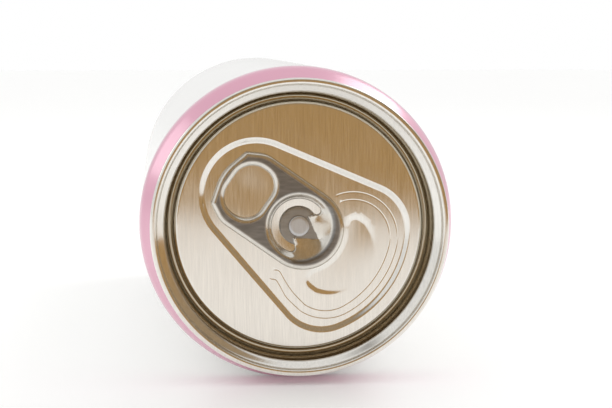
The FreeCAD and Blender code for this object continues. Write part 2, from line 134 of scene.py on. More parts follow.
class CanLidShape(bpy.types.PropertyGroup):
    seam_radius: length("Seam radius", SEAM_RADIUS / MM, "Outside of the seam")
    seam_height: length("Seam height", 2.5, "Rim to the underside of the seam")
    seam_width: length("Seam width", 1.2, "Thickness of the seam")
    plug_depth: length("Lid depth", PLUG_DEPTH / MM, "Rim to the underside of the lid")
    countersink_depth: length("Countersink depth", 6.4, "Rim to the bottom of the countersink")
    countersink_outer: length("Countersink outer", 24.0, "Outer edge of the countersink")
    countersink_inner: length("Countersink inner", 22.85, "Inner edge of the countersink")
    panel_depth: length("Panel depth", 4.3, "Rim to the panel")
    panel_flat: length("Panel flat", 21.9, "Radius at which the panel starts to bend over its edge")
    mouth_turn: angle("Mouth turn", 36.5, "Turn of the mouth about the can's axis")
    recess_depth: length("Recess depth", 0.45, "Depth of the tear-shaped recess")
    recess_slope: length("Recess slope", 0.9, "Width of the recess's sloping edge")
    recess_front: length("Recess front", 20.0, "Middle of the lid to the front of the recess")
    recess_corner: length("Recess corner", 8.3, "Radius of the recess's corners")
    recess_reach: length("Recess reach", 9.9, "Middle of the lid to the corners' centres")
    recess_tail: length("Recess tail", 9.7, "Middle of the lid to the centre of the narrow end")
    recess_tail_round: length("Recess tail round", 9.85, "Radius of the narrow end")
    score_depth: length("Score depth", 0.07, "Depth of the score lines")
    score_width: length("Score width", 0.2, "Width of the score lines")
    dish_depth: length("Dish depth", 0.2, "Depth of the dish round the rivet")
    dish_radius: length("Dish radius", 5.4, "Edge of the dish round the rivet")
    well_depth: length("Finger well depth", 0.06, "Depth of the well under the tab's finger hole")
    well_radius: length("Finger well radius", 6.2, "Edge of the finger well")
    well_reach: length("Finger well reach", 11.1, "Rivet to the middle of the finger well")
    hollow_depth: length("Hollow depth", 0.15, "Depth of the crescent in front of the tab's nose")
    hollow_slope: length("Hollow slope", 0.8, "Width of the crescent's sloping edge")
    hollow_fade_start: length("Hollow fade start", 7.5, "Rivet to where the crescent starts to fade out")
    hollow_fade: length("Hollow fade", 8.0, "Distance in which the crescent fades out")
    score_front: length("Score front", 18.4, "Middle of the lid to the front of the outer score")
    score_corner: length("Score corner", 8.2, "Radius of the outer score's corners")
    score_reach: length("Score reach", 9.3, "Middle of the lid to the corners' centres, along the mouth")
    score_spacing: length("Score spacing", 1.4, "Outer score to the inner one")
    outer_score_start: length("Outer score start", 2.5, "Middle of the lid to the outer score's upper end")
    inner_score_start: length("Inner score start", 3.9, "Middle of the lid to the inner score's upper end")
    panel_round: length("Panel round", 0.85, "Round at the panel's edge")
    countersink_round: length("Countersink round", 0.5, "Rounds at the bottom of the countersink")
    chuck_bend: length("Chuck bend", 24.5, "Radius at which the chuck wall bends")
    chuck_bend_depth: length("Chuck bend depth", 2.05, "Rim to the chuck wall's bend")
    chuck_bend_round: length("Chuck bend round", 0.6, "Round of the chuck wall's bend")
    crest_depth: length("Crest depth", 1.1, "Rim to the foot of the crest's inner side")
    plug_inset: length("Plug inset", 1.4, "Outside of the seam to the lid's hidden side")


class CanTabShape(bpy.types.PropertyGroup):
    top_depth: length("Top depth", TAB_DEPTH / MM, "Rim to the top of the tab")
    thickness: length("Thickness", 1.2, "Thickness of the hem")
    turn: angle("Turn", 35.0, "Turn of the tab about the can's axis")
    tilt: angle("Tilt", 1.0, "How far the heel leans into the can")
    half_width: length("Half width", 7.5, "Half the width of the tab")
    nose: length("Nose", 8.35, "Rivet to the tip of the nose")
    side: length("Side", 12.3, "Rivet to where the sides bend in")
    heel: length("Heel", 15.6, "Rivet to the corners of the heel")
    heel_half_width: length("Heel half width", 5.7, "Half the width of the heel")
    heel_bow: length("Heel bow", 1.6, "How far the heel bows out past its corners")
    hem: length("Hem", 0.85, "Width of the rounded edge")
    hole_near: length("Hole near", 7.3, "Rivet to the near edge of the finger hole")
    hole_far: length("Hole far", 14.9, "Rivet to the far edge of the finger hole")
    hole_half_width: length("Hole half width", 4.9, "Half the width of the finger hole")
    curl: length("Curl", 0.9, "Width of the curled edge of the finger hole")
    bowl_radius: length("Bowl radius", 6.1, "Edge of the bowl round the rivet")
    bowl_drop: length("Bowl drop", 0.85, "Depth of the bowl beside the slot")
    lip_radius: length("Lip radius", 6.7, "Edge of the bowl at the nose")
    crease_radius: length("Crease radius", 5.8, "Crease below the lip, at the nose")
    crease_drop: length("Crease drop", 0.42, "Depth of the crease")
    island_radius: length("Island radius", 3.5, "Rivet island")
    island_drop: length("Island drop", 1.1, "Depth of the island below the tab's top")
    slot_width: length("Slot width", 1.5, "Width of the curved slot")
    slot_opening: angle("Slot opening", 74.0, "Angle from the nose to the centres of the slot's ends")
    beak: length("Beak", 4.5, "Rivet to the tip of the island's beak")
    rivet_radius: length("Rivet radius", 1.87, "Head of the rivet")
    sheet: length("Sheet", 0.3, "Thickness of the tab away from its hem")
    edge_drop: length("Edge drop", 0.6, "Height of the rounded edge's upper half")


class CanColours(bpy.types.PropertyGroup):
    pink: colour("Pink print", "#DA9AB2", "Field of colour over the shoulder")
    # Painted shade: a darker pink for the thin line at the pink field's edge, where the shoulder turns into
    # the wall.
    pink_edge_shade: colour("Pink edge", "#B4738F", "Thin line round the edge of the pink field")
    white: colour("White print", "#F4F2F0", "Ground of the print on the wall")
    lid_metal: colour("Lid metal", "#F1EEE8", "Rolled aluminium of the lid")
    # The tab's own metal colour; it shows along the edges and in the bowl, clear of the painted dark
    # reflection.
    tab_metal: colour("Tab metal", "#E2DED6", "Aluminium of the tab where forming has burnished it")
    rivet_metal: colour("Rivet metal", "#CBCBCC", "Aluminium of the pressed rivet")
    # Painted dark reflection: the grey that the tab's flat sheet gets in place of the dark surroundings it
    # would mirror.
    painted_dark_reflection_grey: colour("Painted dark reflection", "#85827F", "Aluminium of the tab where it is flat, as it left the mill")
    base_metal: colour("Base metal", "#DAD9D7", "Drawn aluminium of the base")
    # Painted shade: the darker tint that the countersink gets in place of the shade of its deep, narrow
    # groove.
    painted_groove_shade: colour("Countersink tint", "#BCB5A6", "Darker tint of the lid metal in the countersink")
    dim_room: colour("Dim room", "#4D443A", "What reflections see in front of the lid")
    pale_room: colour("Pale room", "#EDEDEC", "What reflections see behind, above and to the left")
    card_low: colour("Card, low", "#AF8D5D", "Foot of the brown card that the lid mirrors")
    card_high: colour("Card, high", "#9E896C", "Top of the brown card that the lid mirrors")
    floor: colour("Floor", "#F6F6F5", "Pale studio floor")


def in_millimetres(group):
    """The group's lengths in millimetres, its angles in radians and its counts, under their own names."""
    values = {}
    for item in group.bl_rna.properties:
        if item.identifier not in ("rna_type", "name"):
            value = getattr(group, item.identifier)
            values[item.identifier] = value / MM if item.subtype == "DISTANCE" else value
    return SimpleNamespace(**values)


# ---- paths ----------------------------------------------------------------------------------------------

def rounded_path(corners, step, closed=True):
    """Points along a path of straight edges whose corners, given as x, y and round, are arcs.

    Straight stretches and arcs are both divided about a step apart, and an arc at least every 12 degrees.
    """
    count = len(corners)
    bends = []
    for index, (x, y, radius) in enumerate(corners):
        here = Vector((x, y))
        if not radius:
            bends.append([here])
            continue
        before = (here - Vector(corners[index - 1][:2])).normalized()
        after = (Vector(corners[(index + 1) % count][:2]) - here).normalized()
        turn = math.atan2(before.x * after.y - before.y * after.x, before.dot(after))
        side = math.copysign(1.0, turn)
        start = here - before * radius * math.tan(abs(turn) / 2)
        centre = start + Vector((-before.y, before.x)) * side * radius
        pieces = max(2, math.ceil(abs(turn) / math.radians(12)), math.ceil(abs(turn) * radius / step))
        arm = start - centre
        bends.append([centre + Matrix.Rotation(turn * part / pieces, 2) @ arm for part in range(pieces + 1)])
    path = []
    for index, bend in enumerate(bends):
        path += bend
        if index + 1 < count or closed:
            end = bends[(index + 1) % count][0]
            run = end - bend[-1]
            pieces = max(1, math.ceil(run.length / step))
            path += [bend[-1] + run * part / pieces for part in range(1, pieces)]
    if not closed and path[-1] != bends[-1][-1]:
        path.append(bends[-1][-1])
    return np.array([tuple(point) for point in path])


def distinct(path):
    """The path without points that repeat the one before."""
    return path[np.linalg.norm(path - np.roll(path, 1, axis=0), axis=1) > 1e-6]


def arc_path(centre, radius, start, end, step):
    """Points along an arc between two directions in degrees."""
    turn = math.radians(end - start)
    pieces = max(2, math.ceil(abs(turn) * radius / step))
    angles = math.radians(start) + turn * np.arange(pieces + 1) / pieces
    return np.column_stack((centre[0] + radius * np.cos(angles), centre[1] + radius * np.sin(angles)))


def smooth_path(points, step):
    """A Catmull-Rom curve through the points."""
    points = np.array([points[0], *points, points[-1]], float)
    path = []
    for before, start, end, after in zip(points, points[1:], points[2:], points[3:]):
        pieces = max(1, math.ceil(np.linalg.norm(end - start) / step))
        for t in np.arange(pieces) / pieces:
            squared = (2 * before - 5 * start + 4 * end - after) * t ** 2
            cubed = (3 * start - before - 3 * end + after) * t ** 3
            path.append(0.5 * (2 * start + (end - before) * t + squared + cubed))
    return np.array([*path, points[-1]])


def offset_path(path, distance, closed=True):
    """The path moved sideways; outwards for a positive distance if it runs counter-clockwise."""
    if closed:
        along = np.roll(path, -1, axis=0) - np.roll(path, 1, axis=0)
    else:
        along = np.gradient(path, axis=0)
    along /= np.linalg.norm(along, axis=1)[:, None]
    return path + distance * np.column_stack((along[:, 1], -along[:, 0]))


def distance_to(points, path, closed=True):
    """Distance from each point to the path."""
    start = path if closed else path[:-1]
    run = (np.roll(path, -1, axis=0) if closed else path[1:]) - start
    found = []
    for chunk in np.array_split(points, max(1, len(points) // 2000)):
        away = chunk[:, None, :] - start[None, :, :]
        share = np.clip((away * run).sum(-1) / (run * run).sum(-1), 0, 1)
        found.append(np.linalg.norm(away - share[..., None] * run, axis=-1).min(axis=1))
    return np.concatenate(found)


def inside(points, path):
    """Whether each point lies inside the closed path."""
    ends = np.roll(path, -1, axis=0)
    result = np.zeros(len(points), bool)
    for (x1, y1), (x2, y2) in zip(path, ends):
        if y1 != y2:
            crosses = (y1 > points[:, 1]) != (y2 > points[:, 1])
            result ^= crosses & (points[:, 0] < (x2 - x1) * (points[:, 1] - y1) / (y2 - y1) + x1)
    return result


def signed_distance(points, path):
    """Distance to the closed path, negative inside it."""
    distance = distance_to(points, path)
    return np.where(inside(points, path), -distance, distance)


def ease(share):
    """A smooth step from 0 to 1 as share goes from 0 to 1."""
    share = np.clip(share, 0, 1)
    return share * share * (3 - 2 * share)


def ramp(share, softness=0.35):
    """A straight slope from 0 to 1 whose two ends are rounded."""
    share = np.clip(share, 0, 1)
    return (1 - softness) * share + softness * ease(share)


def roll(distance, width, height):
    """Drop of a rounded edge: its full height at the edge itself and nothing a width away."""
    share = np.clip(1 - distance / width, 0, 1)
    return height * (1 - np.sqrt(1 - share * share))


# ---- meshes ---------------------------------------------------------------------------------------------

def triangulate(rings, loose, holes=()):
    """Points and triangles that keep the rings' edges; each ring is its points and whether it is closed."""
    points = []
    edges = []
    for path, closed in rings:
        first = len(points)
        points += [Vector(point) for point in path]
        edges += [(first + index, first + index + 1) for index in range(len(path) - 1)]
        if closed:
            edges.append((first + len(path) - 1, first))
    points += [Vector(point) for point in loose]
    verts, _, faces, _, _, _ = delaunay_2d_cdt(points, edges, [], 0, 1e-6)
    verts = np.array([tuple(vert) for vert in verts])
    faces = np.array([face for face in faces if len(face) == 3])
    centres = verts[faces].mean(axis=1)
    keep = inside(centres, rings[0][0])
    for hole in holes:
        keep &= ~inside(centres, hole)
    return verts, faces[keep]


def fill_points(outline, spacing, crowd, near):
    """A staggered grid inside the outline that stays clear of the crowd of points already there."""
    low, high = outline.min(axis=0), outline.max(axis=0)
    rows = []
    for row, y in enumerate(np.arange(low[1], high[1], spacing * 0.866)):
        shift = spacing / 2 * (row % 2)
        rows += [(x + shift, y) for x in np.arange(low[0], high[0], spacing)]
    grid = np.array(rows)
    grid = grid[inside(grid, outline)]
    clear = np.ones(len(grid), bool)
    for chunk in np.array_split(crowd, max(1, len(crowd) // 500)):
        clear &= np.linalg.norm(grid[:, None, :] - chunk[None, :, :], axis=-1).min(axis=1) > near
    return grid[clear]


def to_frame(points, depths, turn):
    """Points drawn in a plane across the lid, with +X toward the mouth, as places in the frame in metres."""
    across = points[:, 0] * math.cos(turn) + points[:, 1] * math.sin(turn)
    up = points[:, 1] * math.cos(turn) - points[:, 0] * math.sin(turn)
    return np.column_stack((across * MM, RIM_Y + depths * MM, AXIS_Z + up * MM))


def new_piece(name, mesh):
    """Link a mesh as a piece of the can, with its faces outwards and smooth."""
    work = bmesh.new()
    work.from_mesh(mesh)
    bmesh.ops.remove_doubles(work, verts=work.verts, dist=0.001 * MM)
    bmesh.ops.dissolve_degenerate(work, edges=work.edges, dist=0.0005 * MM)
    bmesh.ops.recalc_face_normals(work, faces=work.faces)
    for face in work.faces:
        face.smooth = True
    work.to_mesh(mesh)
    work.free()
    piece = bpy.data.objects.new(name, mesh)
    bpy.context.scene.collection.objects.link(piece)
    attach(piece, "root")
    return piece


def mesh_of(verts, faces):
    """A mesh of these corners and faces."""
    mesh = bpy.data.meshes.new("work")
    mesh.from_pydata([tuple(vert) for vert in verts], [], [tuple(int(i) for i in face) for face in faces])
    return mesh


def joined(name, meshes):
    """One mesh made of several."""
    work = bmesh.new()
    for mesh in meshes:
        work.from_mesh(mesh)
    whole = bpy.data.meshes.new(name)
    work.to_mesh(whole)
    work.free()
    return whole


# ---- nodes ----------------------------------------------------------------------------------------------

def add_node(tree, kind, inputs=None, **settings):
    """Add a node, set it up, and give each input a value or a link."""
    node = tree.nodes.new(kind)
    for key, value in settings.items():
        setattr(node, key, value)
    for key, value in (inputs or {}).items():
        if isinstance(value, bpy.types.NodeSocket):
            tree.links.new(value, node.inputs[key])
        else:
            node.inputs[key].default_value = value
    return node


def turning_tree():
    """Nodes that turn an open profile, with x as radius and y as depth, into a shell about the Y axis."""
    tree = bpy.data.node_groups.new("Turned shell", "GeometryNodeTree")
    tree.interface.new_socket("Profile", in_out="INPUT", socket_type="NodeSocketGeometry")
    tree.interface.new_socket("Segments", in_out="INPUT", socket_type="NodeSocketInt")
    tree.interface.new_socket("Finish", in_out="INPUT", socket_type="NodeSocketMaterial")
    tree.interface.new_socket("Shell", in_out="OUTPUT", socket_type="NodeSocketGeometry")
    source = add_node(tree, "NodeGroupInput")
    profile = source.outputs["Profile"]
    size = add_node(tree, "GeometryNodeAttributeDomainSize", {"Geometry": profile})
    count = size.outputs["Point Count"]
    columns = add_node(tree, "ShaderNodeMath", {0: source.outputs["Segments"], 1: 1.0}, operation="ADD")
    grid = add_node(tree, "GeometryNodeMeshGrid", {"Vertices X": columns.outputs[0], "Vertices Y": count})
    index = add_node(tree, "GeometryNodeInputIndex")
    row = add_node(tree, "ShaderNodeMath", {0: index.outputs[0], 1: count}, operation="MODULO")
    share = add_node(tree, "ShaderNodeMath", {0: index.outputs[0], 1: count}, operation="DIVIDE")
    column = add_node(tree, "ShaderNodeMath", {0: share.outputs[0]}, operation="FLOOR")
    place = add_node(tree, "GeometryNodeInputPosition")
    sample = add_node(tree, "GeometryNodeSampleIndex", {"Geometry": profile, "Value": place.outputs[0],
                                                        "Index": row.outputs[0]}, data_type="FLOAT_VECTOR")
    point = add_node(tree, "ShaderNodeSeparateXYZ", {0: sample.outputs[0]})
    part = add_node(tree, "ShaderNodeMath", {0: column.outputs[0], 1: source.outputs["Segments"]},
                    operation="DIVIDE")
    turn = add_node(tree, "ShaderNodeMath", {0: part.outputs[0], 1: 2 * math.pi}, operation="MULTIPLY")
    cosine = add_node(tree, "ShaderNodeMath", {0: turn.outputs[0]}, operation="COSINE")
    sine = add_node(tree, "ShaderNodeMath", {0: turn.outputs[0]}, operation="SINE")
    across = add_node(tree, "ShaderNodeMath", {0: point.outputs[0], 1: cosine.outputs[0]},
                      operation="MULTIPLY")
    up = add_node(tree, "ShaderNodeMath", {0: point.outputs[0], 1: sine.outputs[0]}, operation="MULTIPLY")
    turned = add_node(tree, "ShaderNodeCombineXYZ", {0: across.outputs[0], 1: point.outputs[1],
                                                     2: up.outputs[0]})
    shell = add_node(tree, "GeometryNodeSetPosition", {"Geometry": grid.outputs["Mesh"],
                                                       "Position": turned.outputs[0]})
    closed = add_node(tree, "GeometryNodeMergeByDistance", {"Geometry": shell.outputs[0],
                                                            "Distance": 0.0005 * MM})
    real = add_node(tree, "GeometryNodeRealizeInstances", {"Geometry": closed.outputs[0]})
    finish = add_node(tree, "GeometryNodeSetMaterial", {"Geometry": real.outputs[0],
                                                        "Material": source.outputs["Finish"]})
    add_node(tree, "NodeGroupOutput", {"Shell": finish.outputs[0]})
    return tree


def turned_mesh(profile, segments, finish):
    """Turn a profile in millimetres about the can's axis, as a mesh in the frame."""
    points = [(radius * MM, depth * MM, 0.0) for radius, depth in profile]
    mesh = bpy.data.meshes.new("profile")
    mesh.from_pydata(points, [(index, index + 1) for index in range(len(points) - 1)], [])
    carrier = bpy.data.objects.new("profile", mesh)
    bpy.context.scene.collection.objects.link(carrier)
    tree = bpy.data.node_groups.get("Turned shell") or turning_tree()
    modifier = carrier.modifiers.new("Turn", "NODES")
    modifier.node_group = tree
    sockets = {item.name: item.identifier for item in tree.interface.items_tree if item.in_out == "INPUT"}
    modifier[sockets["Segments"]] = segments
    modifier[sockets["Finish"]] = finish
    depsgraph = bpy.context.evaluated_depsgraph_get()
    result = bpy.data.meshes.new_from_object(carrier.evaluated_get(depsgraph))
    result.transform(Matrix.Translation((0, RIM_Y, AXIS_Z)))
    bpy.data.objects.remove(carrier)
    return result


# ---- materials ------------------------------------------------------------------------------------------

def new_material(name):
    """A material, its node tree and its Principled shader."""
    material = bpy.data.materials.new(name)
    material.use_nodes = True
    tree = material.node_tree
    shader = tree.nodes["Principled BSDF"]
    return material, tree, shader


def rolled_aluminium(name, tint, roughness, grain_mm, grain_depth_mm, turn=0.0, spread=0.05):
    """Rolled aluminium sheet under clear lacquer: a soft mirror with fine grain along the rolling direction.

    The grain shows as hair-thin lines that blur a reflection across them, and as faint streaks in it. Real
    grain is a few hundredths of a millimetre wide, so it is drawn coarser than that, in order to show.
    """
    material, tree, shader = new_material(name)
    place = add_node(tree, "ShaderNodeTexCoord").outputs["Object"]
    across = 1 / (grain_mm * MM)
    mapping = add_node(tree, "ShaderNodeMapping", {"Vector": place, "Rotation": (0, turn, 0),
                                                   "Scale": (across, across, across * 0.04)})
    grain = add_node(tree, "ShaderNodeTexNoise", {"Vector": mapping.outputs[0], "Scale": 1.0, "Detail": 3.0,
                                                  "Roughness": 0.6})
    bump = add_node(tree, "ShaderNodeBump", {"Height": grain.outputs[0], "Strength": 1.0,
                                             "Distance": grain_depth_mm * MM})
    blotch_scale = 1 / (6 * MM)
    blotches = add_node(tree, "ShaderNodeTexNoise", {"Vector": place, "Scale": blotch_scale, "Detail": 2.0})
    mixed = add_node(tree, "ShaderNodeMath", {0: grain.outputs[0], 1: blotches.outputs[0]}, operation="ADD")
    rough = add_node(tree, "ShaderNodeMapRange", {"Value": mixed.outputs[0], "From Min": 0.6, "From Max": 1.4,
                                                  "To Min": roughness - spread, "To Max": roughness + spread})
    tree.links.new(rough.outputs[0], shader.inputs["Roughness"])
    tree.links.new(bump.outputs[0], shader.inputs["Normal"])
    shade = add_node(tree, "ShaderNodeMapRange", {"Value": grain.outputs[0], "From Min": 0.3, "From Max": 0.7,
                                                  "To Min": 0.86, "To Max": 1.0})
    tinted = add_node(tree, "ShaderNodeMix", {"Factor": 1.0}, data_type="RGBA", blend_type="MULTIPLY")
    tinted.inputs[6].default_value = tuple(tint)
    tree.links.new(shade.outputs[0], tinted.inputs[7])
    tree.links.new(tinted.outputs[2], shader.inputs["Base Color"])
    shader.inputs["Metallic"].default_value = 1.0
    return material


def paint_groove_shade(material, tint):
    """Give the countersink a darker tint than the panel: painted shade, standing in for how dark a deep,
    narrow groove looks.
    """
    tree = material.node_tree
    shader = tree.nodes["Principled BSDF"]
    clean = shader.inputs["Base Color"].links[0].from_socket
    place = add_node(tree, "ShaderNodeTexCoord").outputs["Object"]
    moved = add_node(tree, "ShaderNodeVectorMath", {0: place, 1: (0, RIM_Y, AXIS_Z)}, operation="SUBTRACT")
    parts = add_node(tree, "ShaderNodeSeparateXYZ", {0: moved.outputs[0]})
    flat = add_node(tree, "ShaderNodeCombineXYZ", {0: parts.outputs[0], 1: parts.outputs[2]})
    radius = add_node(tree, "ShaderNodeVectorMath", {0: flat.outputs[0]}, operation="LENGTH").outputs["Value"]
    # Painted shade: the lid metal turns to the darker tint in the countersink, outside the panel's edge and
    # deeper than about 3 mm.
    starts = add_node(tree, "ShaderNodeMapRange", {"Value": radius, "From Min": 22.45 * MM,
                                                   "From Max": 22.8 * MM})
    deep = add_node(tree, "ShaderNodeMapRange", {"Value": parts.outputs[1], "From Min": 2.0 * MM,
                                                 "From Max": 3.2 * MM})
    painted_groove_shade = add_node(tree, "ShaderNodeMath", {0: starts.outputs[0], 1: deep.outputs[0]},
                      operation="MULTIPLY")
    tone = add_node(tree, "ShaderNodeMix", {"Factor": painted_groove_shade.outputs[0]}, data_type="RGBA")
    tree.links.new(clean, tone.inputs[6])
    tone.inputs[7].default_value = tuple(tint)
    tree.links.new(tone.outputs[2], shader.inputs["Base Color"])


def paint_tab_dark_reflection(material, tint, roughness):
    """Painted dark reflection: dark, streaky grey on the tab's flat sheet, and the metal's own bright colour
    along the tab's edges and in its bowl.

    A point attribute of the mesh is 1 where the metal keeps its own colour and 0 where the painted dark
    reflection lies, and mixes colour and roughness between the two.
    """
    tree = material.node_tree
    shader = tree.nodes["Principled BSDF"]
    metal_colour = shader.inputs["Base Color"].links[0].from_socket
    smooth = shader.inputs["Roughness"].links[0].from_socket
    clear_of_painted_dark = add_node(tree, "ShaderNodeAttribute", attribute_name="clear_of_painted_dark").outputs["Fac"]
    place = add_node(tree, "ShaderNodeTexCoord").outputs["Object"]
    across = 1 / (0.5 * MM)
    mapping = add_node(tree, "ShaderNodeMapping", {"Vector": place, "Rotation": (0, math.radians(-35), 0),
                                                   "Scale": (across * 0.2, across, across)})
    streaks = add_node(tree, "ShaderNodeTexNoise", {"Vector": mapping.outputs[0], "Scale": 1.0,
                                                    "Detail": 3.0})
    share = add_node(tree, "ShaderNodeMapRange", {"Value": streaks.outputs[0], "From Min": 0.3,
                                                  "From Max": 0.7, "To Min": 0.8, "To Max": 1.15})
    flat = add_node(tree, "ShaderNodeMix", {"Factor": 1.0}, data_type="RGBA", blend_type="MULTIPLY")
    flat.inputs[6].default_value = tuple(tint)
    tree.links.new(share.outputs[0], flat.inputs[7])
    tone = add_node(tree, "ShaderNodeMix", {"Factor": clear_of_painted_dark}, data_type="RGBA")
    tree.links.new(flat.outputs[2], tone.inputs[6])
    tree.links.new(metal_colour, tone.inputs[7])
    tree.links.new(tone.outputs[2], shader.inputs["Base Color"])
    rough = add_node(tree, "ShaderNodeMix", {"Factor": clear_of_painted_dark, "A": roughness, "B": smooth})
    tree.links.new(rough.outputs[0], shader.inputs["Roughness"])


def printed_wall(colours, field_end_mm, shade_line_mm):
    """Ink under gloss lacquer on drawn aluminium: flat fields of colour with a wet, even shine."""
    material, tree, shader = new_material("gloss_lacquered_print")
    place = add_node(tree, "ShaderNodeTexCoord").outputs["Object"]
    depth = add_node(tree, "ShaderNodeSeparateXYZ", {0: place}).outputs[1]
    edge = RIM_Y + field_end_mm * MM
    beyond = add_node(tree, "ShaderNodeMapRange", {"Value": depth, "From Min": edge - 0.05 * MM,
                                                   "From Max": edge + 0.05 * MM})
    # Painted shade: a thin band of darker pink at the end of the pink field, standing in for the shade where
    # the shoulder turns into the wall.
    line = add_node(tree, "ShaderNodeMapRange", {"Value": depth, "From Min": edge - (shade_line_mm + 0.1) * MM,
                                                 "From Max": edge - shade_line_mm * MM})
    pink = add_node(tree, "ShaderNodeMix", {"Factor": line.outputs[0]}, data_type="RGBA")
    pink.inputs[6].default_value = tuple(colours.pink)
    pink.inputs[7].default_value = tuple(colours.pink_edge_shade)
    field = add_node(tree, "ShaderNodeMix", {"Factor": beyond.outputs[0]}, data_type="RGBA")
    tree.links.new(pink.outputs[2], field.inputs[6])
    field.inputs[7].default_value = tuple(colours.white)
    tree.links.new(field.outputs[2], shader.inputs["Base Color"])
    # Drawn walls ripple very slightly, which keeps a long highlight from looking ruled.
    ripple = add_node(tree, "ShaderNodeTexNoise", {"Vector": place, "Scale": 1 / (4 * MM), "Detail": 2.0})
    bump = add_node(tree, "ShaderNodeBump", {"Height": ripple.outputs[0], "Distance": 0.01 * MM})
    tree.links.new(bump.outputs[0], shader.inputs["Normal"])
    shader.inputs["Roughness"].default_value = 0.3
    shader.inputs["Metallic"].default_value = 0.25
    shader.inputs["Coat Weight"].default_value = 1.0
    shader.inputs["Coat Roughness"].default_value = 0.16
    return material


# ---- operators ------------------------------------------------------------------------------------------

class CAN_OT_body(bpy.types.Operator):
    """Make the printed body with its neck, shoulder, wall, stand ring and dome"""
    bl_idname = "can.body"
    bl_label = "Body"

    def execute(self, context):
        scene = context.scene
        sizes = in_millimetres(scene.can_body)
        colours = scene.can_colours
        seam_height = in_millimetres(scene.can_lid).seam_height
        printed = printed_wall(colours, sizes.field_end, sizes.painted_edge_shade_width)
        bare = rolled_aluminium("drawn_aluminium", colours.base_metal, 0.3, 0.12, 0.004)
        inner = sizes.ring_radius - sizes.ring_half_width
        floor = sizes.height - sizes.ring_wall
        dome_top = sizes.height - sizes.dome
        rise = floor - dome_top
        ball = (inner * inner + rise * rise) / (2 * rise)
        corners = [
            (0, PLUG_DEPTH / MM, 0),
            (sizes.neck_radius - sizes.hidden_step, PLUG_DEPTH / MM, 0),
            (sizes.neck_radius - sizes.hidden_step, seam_height, 0),
            (sizes.neck_radius, seam_height, 0),
            (sizes.neck_radius, sizes.shoulder_top, sizes.neck_round),
            (sizes.wall_radius, sizes.shoulder_end, sizes.wall_round),
            (sizes.wall_radius, sizes.height - sizes.taper, sizes.wall_round),
            (sizes.ring_radius + sizes.ring_half_width, sizes.height, sizes.ring_round),
            (inner, sizes.height, sizes.ring_round),
            (inner, floor + sizes.dome_skirt, 0),
        ]
        profile = rounded_path(corners, 0.5, closed=False)
        straight_end = 15
        plain_wall = np.abs(profile[:, 1] - sizes.height / 2) < sizes.height / 2 - straight_end
        eighth = np.arange(len(profile)) % 8 == 0
        profile = profile[~plain_wall | eighth]
        lean = math.degrees(math.asin(inner / ball))
        dome = arc_path((0, dome_top + ball), ball, -90 + lean, -90, 0.8)
        profile = np.vstack((profile, dome))
        mesh = turned_mesh(profile, sizes.segments, printed)
        mesh.materials.clear()
        mesh.materials.append(printed)
        mesh.materials.append(bare)
        piece = new_piece("can_shell", mesh)
        for vert in piece.data.vertices:
            vert.co.z = max(vert.co.z, CAD_BOX[0][2])
        bare_from = RIM_Y + (sizes.height - sizes.bare_band) * MM
        for face in piece.data.polygons:
            face.material_index = 1 if face.center.y > bare_from else 0
        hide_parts("can_body")
        return {"FINISHED"}


def tear_path(sizes, step):
    """The recess: a front round the middle of the lid, two corners and a narrow end."""
    rise = math.sqrt((sizes.recess_front - sizes.recess_corner) ** 2 - sizes.recess_reach ** 2)
    across = Vector((sizes.recess_reach + sizes.recess_tail, rise))
    lean = math.atan2(across.y, across.x)
    lean += math.acos((sizes.recess_tail_round - sizes.recess_corner) / across.length)
    lean = math.degrees(lean)
    front = math.degrees(math.atan2(rise, sizes.recess_reach))
    lower = (sizes.recess_reach, -rise)
    upper = (sizes.recess_reach, rise)
    arcs = [
        arc_path(lower, sizes.recess_corner, -lean, -front, step),
        arc_path((0, 0), sizes.recess_front, -front, front, step),
        arc_path(upper, sizes.recess_corner, front, lean, step),
        arc_path((-sizes.recess_tail, 0), sizes.recess_tail_round, lean, 360 - lean, step),
    ]
    path = []
    for arc, following in zip(arcs, arcs[1:] + arcs[:1]):
        run = following[0] - arc[-1]
        pieces = max(1, math.ceil(np.linalg.norm(run) / step))
        path += [*arc[:-1], *(arc[-1] + run * part / pieces for part in range(pieces))]
    return distinct(np.array(path))


def score_path(sizes, inset, start, hook, step):
    """A score line: round the mouth as arcs, with its lower end led off in a hook."""
    front = sizes.score_front - inset
    corner = sizes.score_corner - inset
    reach = sizes.score_reach
    rise = math.sqrt((front - corner) ** 2 - reach ** 2)
    turn = math.degrees(math.atan2(rise, reach))
    upper_end = math.degrees(math.acos((start - reach) / corner))
    lower = arc_path((reach, -rise), corner, -88, -turn, step)
    led_in = smooth_path([*hook, tuple(lower[0])], step)
    return np.vstack((led_in[:-1], lower[:-1], arc_path((0, 0), front, -turn, turn, step)[:-1],
                      arc_path((reach, rise), corner, turn, upper_end, step)))


